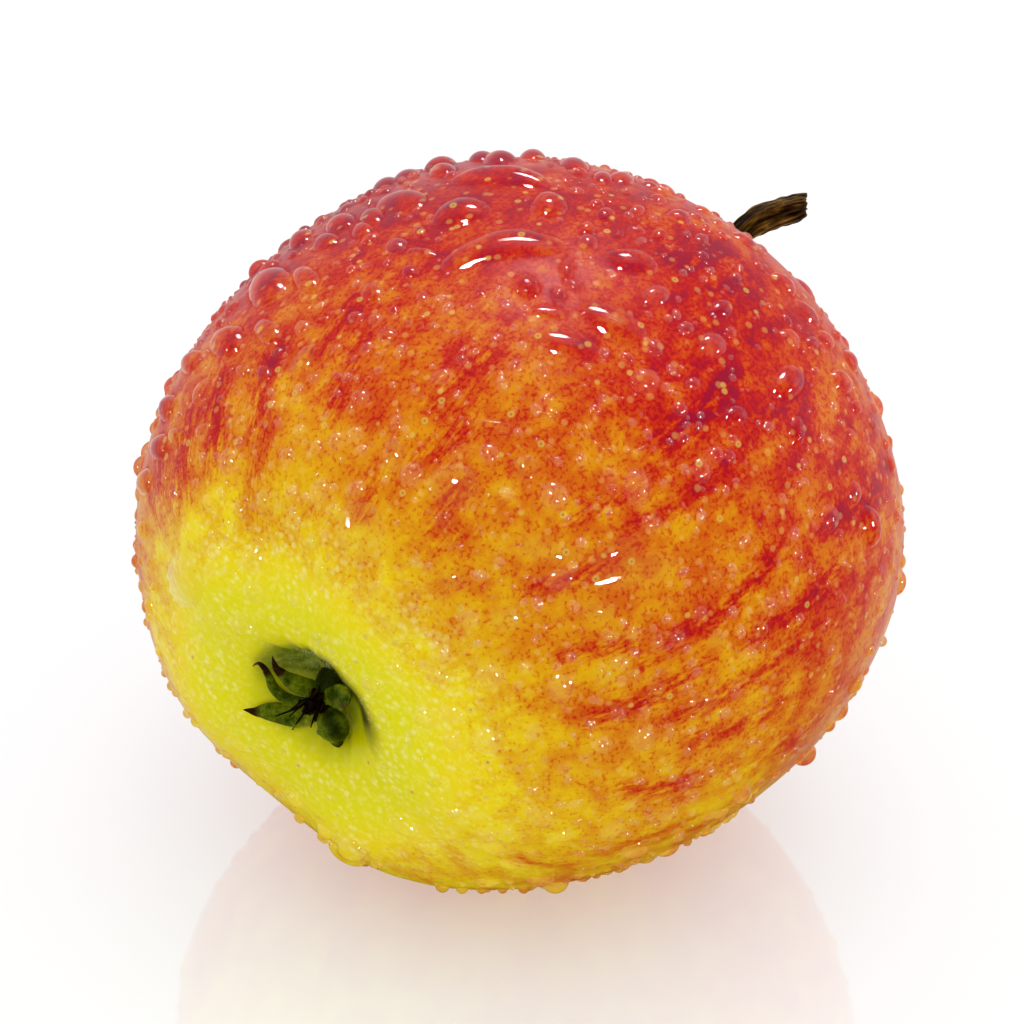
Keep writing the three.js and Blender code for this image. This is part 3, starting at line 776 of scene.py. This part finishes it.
def hair(foot, tip, radii, bow, sides=5, steps=7):
    """A thin tapering thread from foot to tip, bowed sideways."""
    foot, tip, bow = (np.asarray(v, float) for v in (foot, tip, bow))
    shares = np.linspace(0, 1, steps + 1)[:, None]
    path = foot + (tip - foot) * shares + bow * (4 * shares * (1 - shares))
    ahead = unit(tip - foot)
    side = unit(np.cross(ahead, [0.31, 0.52, 0.8]))
    over = np.cross(ahead, side)
    turn = round_angles(sides)
    radius = radii[0] + (radii[1] - radii[0]) * shares
    circle = np.cos(turn)[:, None] * side + np.sin(turn)[:, None] * over
    points = (path[:, None] + radius[:, None] * circle).reshape(-1, 3)
    ends = [tuple(range(sides))[::-1], tuple(steps * sides + j for j in range(sides))]
    return points, ends + ring_faces(steps + 1, sides)


def build_calyx():
    blades = [sepal(*rows) for rows in SEPALS] + [hub()]
    points, faces = join([blade[:2] for blade in blades])
    piece = new_piece("sepals", to_row(points), faces, sepal_material(), ["calyx"])
    add_values(piece, "leaf", np.concatenate([blade[2] for blade in blades]))
    add_values(piece, "hollow", np.concatenate([blade[3] for blade in blades]))


def build_stamens():
    draw = np.random.RandomState(STAMEN_SEED).uniform
    threads = []
    for tip in LONG_FILAMENTS:
        foot = (draw(-0.6, 0.8), draw(-0.6, 0.8), -28.5)
        threads.append(hair(foot, tip, LONG_RADII, draw(-0.25, 0.25, 3)))
    for _ in range(SHORT_FILAMENTS):
        turn, wide = draw(0, 2 * pi), draw(0.1, 1.1)
        foot = np.array([wide * cos(turn), wide * sin(turn), -28.4])
        lean, sway, rise = draw(-1, 1), draw(-1, 1), draw(0.9, 2)
        tip = foot + [1.3 + lean, 0.8 + sway, -rise]
        threads.append(hair(foot, tip, SHORT_RADII, draw(-0.2, 0.2, 3)))
    points, faces = join(threads)
    material = fibre_material("stamens", *STAMEN_COLOURS)
    new_piece("stamen_tuft", to_row(points), faces, material, ["stamens"])


def build_down():
    """White down along the rim of the pit and on its far wall."""
    draw = np.random.RandomState(DOWN_SEED).uniform
    threads = []
    for _ in range(DOWN_HAIRS):
        if draw() < DOWN_ON_RIM:
            a, b = draw(168.5, 172.5), draw(190, 262)
        else:
            a, b = draw(173, 178.5), draw(90, 215)
        a, b = np.array(radians(a)), np.array(radians(b))
        foot = skin(a, b)
        down, side, _, _, outwards = skin_tangents(a, b)
        long = draw(0.12, 0.38)
        tip = foot + long * (outwards * draw(0.3, 0.8) + down * draw(0.2, 0.9)
                             + side * draw(-0.5, 0.5))
        bow = draw(-0.05, 0.05, 3)
        threads.append(hair(foot - outwards * 0.1, tip, DOWN_RADII, bow, sides=3, steps=3))
    points, faces = join(threads)
    new_piece("calyx_down", to_row(points), faces, fibre_material("down", *DOWN_COLOURS))


def sepal_material():
    g = Material("sepals")
    mm = g.position()
    withered, across, share = g.parts(g.attribute("leaf", "Vector"))
    coarse = g.noise(mm, 0.7)
    fine = g.noise(mm, 4.0, 3.0, 0.7)
    green = g.ramp(g.add(g.times(coarse, 0.6), g.times(fine, 0.4)), SEPAL_GREENS)
    # Painted shade in the hollows of the cupped sepals
    green = g.paint(green, HOLLOW_PAINTED_SHADE, g.attribute("hollow"), 0.86)
    green = g.paint(green, FOOT_GREEN, g.step(share, 0.30, 0.0), 0.8)
    green = g.paint(green, SEPAL_PATCH, g.step(g.noise(mm, 0.55), 0.60, 0.68), 0.6)
    green = g.paint(green, SEPAL_EDGE, g.step(across, 0.84, 0.97), 0.75)
    tip = g.mix(fine, srgb(*WITHERED_DARK), srgb(*WITHERED_BROWN))
    height = g.add(g.times(coarse, 0.5), g.times(fine, 0.5))
    g.principled(Base_Color=g.mix(withered, green, tip), Roughness=0.34, Specular_IOR_Level=0.07,
                 Normal=g.bump(height, 0.8, 0.00016))
    return g.material


def fibre_material(name, low, high):
    g = Material(name)
    shade = g.noise(g.position(), 1.8, 3.0, 0.6)
    colour = g.mix(g.step(shade, 0.35, 0.65), srgb(*low), srgb(*high))
    g.principled(Base_Color=colour, Roughness=0.5, Specular_IOR_Level=0.05, Normal=g.bump(shade, 0.4, 0.00008))
    return g.material


# ---- Stem ----
STEM_PATH = [(0, 0, 19.6), (-0.6, 0.3, 25), (-2.8, 0.9, 31.5), (-6.4, 1.3, 38.2), (-10.4, 1.0, 44.2),
             (-12.2, -3.5, 49.25)]
STEM_RADIUS = 1.16
STEM_LONG_SIDE = np.array([-0.78, 0.33, 0.53])  # where the broken end reaches furthest
STEM_STEPS, STEM_SIDES, STEM_END_RINGS = 150, 120, 9
STEM_SPLITS = ((0.6, 0.10), (2.3, 0.08), (3.9, 0.12), (5.2, 0.08))  # radians round it, and depth
BARK = [(0.0, (16, 6, 0)), (0.35, (48, 26, 0)), (0.70, (92, 64, 8)), (1.0, (150, 118, 50))]
OLIVE_BARK = [(0.0, (34, 20, 0)), (0.40, (76, 58, 2)), (0.75, (112, 90, 10)), (1.0, (150, 126, 40))]
BROKEN_WOOD = [(0.35, (56, 32, 6)), (0.52, (112, 80, 28)), (0.72, (186, 156, 92))]


def build_stem():
    path = spline(STEM_PATH, STEM_STEPS)
    ahead, side = frame_along(path, [0.2, 0.9, 0.1])
    over = np.cross(ahead, side)
    turn = round_angles(STEM_SIDES)
    circle = np.cos(turn)[:, None] * side[:, None] + np.sin(turn)[None, :, None] * over[:, None]
    shares = np.linspace(0, 1, STEM_STEPS + 1)[:, None]

    # Its radius, as shares of STEM_RADIUS: ridges and splits that twist, a wide foot and a flared end
    twist = turn + 0.7 * shares
    ridge = 0.03 * np.cos(5 * twist) + 0.03 * np.cos(13 * twist + 2.5 * np.sin(7 * shares))
    ridge = ridge + 0.028 * np.cos(23 * twist + 2 + 2.0 * np.sin(11 * shares + 1))
    for at, deep in STEM_SPLITS:
        apart = (twist - at + 0.25 * np.sin(9 * shares + at) + pi) % (2 * pi) - pi
        ridge = ridge - deep * np.exp(-(apart / 0.13) ** 2)
    flare = 0.25 * (1 - shares) ** 6 + 0.26 * slope(shares, 0.6, 0.25) ** 2
    flare = flare - 0.30 * slope(shares, 0.96, 0.04) ** 2
    rough = np.zeros_like(ridge)
    for i in range(len(path)):
        for j in range(STEM_SIDES):
            place = Vector((cos(turn[j]) * 1.3, sin(turn[j]) * 1.3, i * 0.06))
            rough[i, j] = noise.noise(place * 1.1) * 0.12 + noise.noise(place * 3.6) * 0.09
    rough *= 0.5 + 1.2 * shares ** 2
    points = path[:, None] + circle * (STEM_RADIUS * (1 + flare + ridge + rough))[..., None]

    # The broken end: slanted and ragged
    reach = 0.50 * (circle[-1] @ STEM_LONG_SIDE)
    ragged = np.array([0.30 * noise.noise(Vector((cos(t) * 4, sin(t) * 4, 5))) for t in turn])
    points = points + ahead[:, None] * ((reach + ragged) * shares ** 24)[..., None]
    rings = [points.reshape(-1, 3)]
    for k in range(1, STEM_END_RINGS):
        inner = 1 - k / STEM_END_RINGS
        ring = path[-1] + (points[-1] - path[-1]) * inner
        lift = [0.28 * noise.noise(Vector(tuple(p * 1.7))) - 0.15 * inner for p in ring]
        rings.append(ring + ahead[-1] * np.array(lift)[:, None])
    points = np.concatenate(rings + [path[-1:]])

    ring_count = STEM_STEPS + STEM_END_RINGS
    faces = ring_faces(ring_count, STEM_SIDES) + fan(len(points) - 1, (ring_count - 1) * STEM_SIDES, STEM_SIDES)
    faces.append(tuple(range(STEM_SIDES))[::-1])
    piece = new_piece("stem_wood", to_row(points), faces, stem_material(), ["stem"])
    on_end = len(points) - ridge.size
    add_values(piece, "high", np.r_[((ridge + rough) * 2.4 + 0.42).ravel(), np.full(on_end, 0.7)])
    add_values(piece, "far", np.r_[(shares + 0 * turn).ravel(), np.full(on_end, 1.05)])
    fibre = np.stack([np.cos(twist), np.sin(twist), 2.2 * shares + 0 * turn], -1).reshape(-1, 3)
    add_values(piece, "fibre", np.concatenate([fibre, points[len(fibre):] * 0.5]))


def stem_material():
    g = Material("stem_wood")
    speck = g.noise(g.position(), 3.0, 4.0, 0.7)
    fibre = g.noise(g.vector("MULTIPLY", g.attribute("fibre", "Vector"), (5.5, 5.5, 4.0)), 1.0, 4.0, 0.72)
    high = g.add(g.attribute("high"), g.sway(speck, 0.5), g.sway(fibre, 2.4))
    far = g.attribute("far")
    colour = g.mix(g.step(far, 0.60, 0.92), g.ramp(high, OLIVE_BARK), g.ramp(high, BARK))
    colour = g.mix(g.step(far, 0.985, 1.02), colour, g.ramp(speck, BROKEN_WOOD))
    g.principled(Base_Color=colour, Roughness=0.36, Specular_IOR_Level=0.08, Normal=g.bump(high, 0.8, 0.00012))
    return g.material


# ---- Floor, light and camera ----
# The photograph's angle, and how far the camera stands from the fruit's centre in millimetres
AZIMUTH, ELEVATION = radians(-52.2), radians(32.64)
CAMERA_RIGHT, CAMERA_UP, CAMERA_BACK = 0.434, 1.895, 283.0
LENS, SENSOR_WIDTH = 100, 36
NEAR_CLIP, FAR_CLIP = 0.01, 20

# Directions from the fruit: towards the camera, to its right, up in its picture, and level to the front
BACK = np.array([
    sin(AZIMUTH) * cos(ELEVATION), -cos(AZIMUTH) * cos(ELEVATION), sin(ELEVATION),
])
RIGHT = np.array([cos(AZIMUTH), sin(AZIMUTH), 0])
UP = np.cross(BACK, RIGHT)
LEVEL_FRONT = np.array([BACK[0], BACK[1], 0]) / hypot(BACK[0], BACK[1])

AMBIENT = 0.98  # how bright the surround is
FLOOR_HALF = 3  # metres
# The warm colour is painted bounce light round the apple
FLOOR_COLOUR, FLOOR_PAINTED_BOUNCE, WHITE = (0.40, 0.41, 0.42, 1), (1, 0.80, 0.60, 1), (1, 1, 1, 1)

# Soft lamps: degrees to the right of the photograph's angle, degrees up, sides in metres, radiance, and
# what they light: everything, or the highlights of the water or of all the rest alone
LAMPS = [
    ("sheen_softbox", 178, 63, (0.46, 0.40), 14, "rest"),
    ("key_softbox", 178, 63, (0.32, 0.24), 80, "water"),
    ("fill_softbox", -30, 56, (0.17, 0.15), 480, "water"),
    ("low_softbox", 22, 9, (0.18, 0.14), 380, "water"),
    ("left_softbox", -80, 14, (0.12, 0.12), 60, "water"),
    ("right_softbox", 72, 7, (0.15, 0.15), 300, "water"),
    ("top_light", 150, 75, (0.7, 0.7), 1.4, "everything"),
    ("side_light", 100, 14, (0.7, 0.7), 1.0, "everything"),
]
LAMP_DISTANCE, LAMP_AIM = 0.8, np.array([0, 0, 0.035])


def build_floor():
    """A pale, glossy floor that glows, with painted warm bounce light close round the apple and a painted
    shadow where it glows less near the apple. What the apple and the drops reflect of it is dark towards the
    front.
    """
    g = Material("floor")
    mm = g.position()
    away = g.vector("LENGTH", mm)
    # Painted warm bounce light close round the apple
    painted_bounce_glow = g.mix(g.step(away, 2.0, 34.0), FLOOR_PAINTED_BOUNCE, WHITE)
    sheet = g.principled(
        Base_Color=FLOOR_COLOUR, Roughness=0.05, IOR=1.8, Specular_IOR_Level=0.9, Emission_Color=painted_bounce_glow,
        # Painted shadow: the floor glows less within about 50 mm of the apple
        Emission_Strength=g.add(g.times(g.step(away, 10.0, 50.0), 0.12), 0.42),
        Normal=g.bump(g.noise(mm, 0.05), 0.02, 0.0005),
    )
    facing = g.vector("DOT_PRODUCT", g.vector("NORMALIZE", mm), tuple(LEVEL_FRONT))
    shine = g.named("Emission", Strength=g.add(g.times(g.step(facing, 0.42, -0.35), 0.80), 0.02))
    g.split_rays(g.new("LightPath").outputs["Is Glossy Ray"], sheet, shine)
    mesh = bpy.data.meshes.new("floor")
    corners = [(x * FLOOR_HALF, y * FLOOR_HALF, 0) for x, y in ((-1, -1), (1, -1), (1, 1), (-1, 1))]
    mesh.from_pydata(corners, [], [(0, 1, 2, 3)])
    mesh.materials.append(g.material)
    floor = new_object("floor", mesh)


def build_lamp(name, turn, lift, size, radiance, lights, water):
    """A square lamp aimed at the apple, bright in the middle and soft at its edge."""
    turn, lift = radians(turn), radians(lift)
    level = LEVEL_FRONT * cos(turn) + RIGHT * sin(turn)
    place = (level * cos(lift) + np.array([0, 0, sin(lift)])) * LAMP_DISTANCE + LAMP_AIM
    light = bpy.data.lights.new(name, "AREA")
    light.shape = "RECTANGLE"
    light.size, light.size_y = size
    light.energy = radiance * pi * size[0] * size[1]
    light.use_nodes = True
    g = Nodes(light.node_tree)
    centred = g.vector("MULTIPLY_ADD", g.new("NewGeometry").outputs["Parametric"], (2, 2, 0), (-1, -1, 0))
    g.put(g.nodes["Emission"].inputs["Strength"], g.step(g.vector("LENGTH", centred), 1.05, 0.15))
    lamp = new_object(name, light)
    lamp.location = place
    lamp.rotation_mode = "QUATERNION"
    lamp.rotation_quaternion = (Vector(LAMP_AIM) - Vector(place)).to_track_quat("-Z", "Y")
    lamp.visible_diffuse = lights == "everything"
    if lights != "everything":
        group = bpy.data.collections.new(name + "_lights")
        for piece in water:
            group.objects.link(piece)
        for entry in group.collection_objects:
            entry.light_linking.link_state = "INCLUDE" if lights == "water" else "EXCLUDE"
        lamp.light_linking.receiver_collection = group


def build_camera():
    data = bpy.data.cameras.new("camera")
    data.lens, data.sensor_width = LENS, SENSOR_WIDTH
    data.clip_start, data.clip_end = NEAR_CLIP, FAR_CLIP
    camera = new_object("camera", data)
    place = (FRUIT_CENTRE + RIGHT * CAMERA_RIGHT + UP * CAMERA_UP + BACK * CAMERA_BACK) / 1000
    turn = Matrix(np.stack([RIGHT, UP, BACK], 1).tolist()).to_4x4()
    camera.matrix_world = Matrix.Translation(Vector(place)) @ turn
    bpy.context.scene.camera = camera


def build_world():
    """An even white surround, which shows in reflections with a dark side towards the front."""
    world = bpy.data.worlds.new("world")
    world.use_nodes = True
    world.cycles.sampling_method = "NONE"
    g = Nodes(world.node_tree)
    facing = g.vector("DOT_PRODUCT", g.new("TexCoord").outputs["Generated"], tuple(LEVEL_FRONT))
    shine = g.step(facing, -0.35, 0.42, 0.8, 0.0)
    strength = g.new("Mix", g.new("LightPath").outputs["Is Glossy Ray"], None, AMBIENT, shine).outputs[0]
    for socket, value in zip(g.nodes["Background"].inputs, (WHITE, strength)):
        g.put(socket, value)
    bpy.context.scene.world = world


build_stem()
build_calyx()
build_stamens()
build_down()
large, middle, small = water_rules()
build_skin(skin_material(), large + middle)
water = [
    build_drops(name, drops, sides, rings, water_material(*look))
    for (name, sides, rings, *look), drops in zip(WATER_PIECES, (large, middle, small))
]
build_floor()
build_world()
for lamp in LAMPS:
    build_lamp(*lamp, water)
build_camera()
scene = bpy.context.scene
scene.view_settings.view_transform = "Standard"
scene.view_settings.look = "None"
